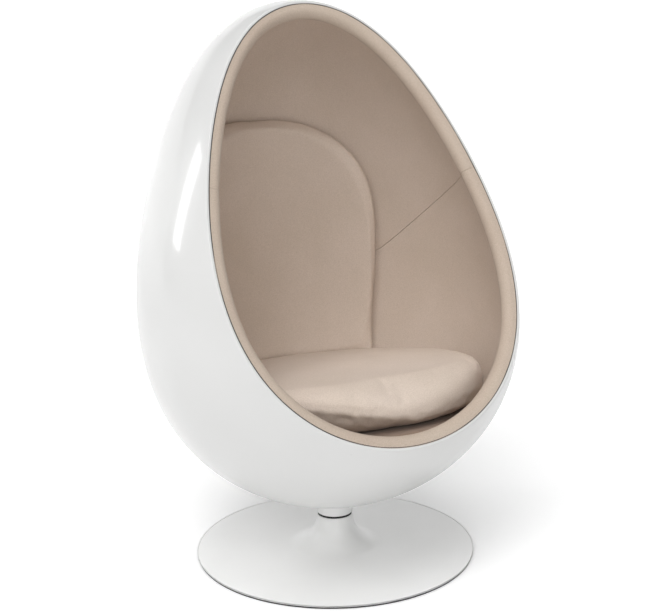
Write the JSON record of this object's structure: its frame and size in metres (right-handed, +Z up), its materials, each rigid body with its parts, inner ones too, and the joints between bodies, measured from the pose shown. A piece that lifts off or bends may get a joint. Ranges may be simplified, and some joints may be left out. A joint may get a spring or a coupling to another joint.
{
  "type": "swivel egg chair",
  "caption": "Egg-shaped upholstered lounge chair with a leaning oval opening, loose seat and back cushions, turning on a round pedestal base.",
  "frame": {"origin": "on the floor, at the swivel axis, in the middle of the base's underside", "axes": "+Z up along the swivel axis; the opening faces -Y at rest; +X is to the right seen from the front"},
  "size_m": [0.8839, 0.8582, 1.2991],
  "materials": {
    "floor_pad": "matt black",
    "ballast_plate": "rough",
    "base_cover": "gloss white",
    "neck_ring": "matt black",
    "post": "drawn tube",
    "screws": "zinc plated",
    "bushes": "turned",
    "bearing_steel": "ground",
    "ball_cage": "moulded",
    "bearing_balls": "polished",
    "swivel_hub": "painted white",
    "spindle": "turned",
    "clamp_plate": "black",
    "mounting_pad": "cast resin",
    "shell": "gloss white gel coat on glass-reinforced plastic",
    "rim_bead": "dark grey",
    "upholstery": "matt beige cloth over foam",
    "foam": "open-cell foam",
    "seat_board": "plain plywood"
  },
  "bodies": {
    "base": {"floor_pad": "floor_pad", "ballast_plate": "ballast_plate", "base_cover": "base_cover", "neck_ring": "neck_ring", "post": "post", "post_screws": "screws", "lower_bush": "bushes", "upper_bush": "bushes", "lower_race": "bearing_steel"},
    "bearing_cage": {"ball_cage": "ball_cage", "bearing_balls": "bearing_balls"},
    "pod": {"upper_race": "bearing_steel", "swivel_hub": "swivel_hub", "spindle": "spindle", "spindle_washer": "bearing_steel", "retaining_ring": "bearing_steel", "hub_bolts": "screws", "bolt_washers": "screws", "clamp_plate": "clamp_plate", "mounting_pad": "mounting_pad", "outer_shell": "shell", "rim_bead": "rim_bead", "upper_roll": "upholstery", "lower_roll": "upholstery", "hood_lining": "upholstery", "bowl_lining": "upholstery", "seat_block": "foam", "seat_board": "seat_board", "deck_pad": "upholstery", "seat_cushion": "upholstery", "back_cushion": "upholstery"}
  },
  "joints": [
    {"name": "swivel", "type": "hinge", "parent": "base", "child": "pod", "pos_m": [0, 0, 0.09], "axis": [0, 0, 1], "continuous": true},
    {"name": "bearing_cage_turn", "type": "hinge", "parent": "base", "child": "bearing_cage", "pos_m": [0, 0, 0.09], "axis": [0, 0, 1], "continuous": true}
  ],
  "couplings": [
    {"joint": "bearing_cage_turn", "follows": "swivel", "ratio": 0.5}
  ]
}
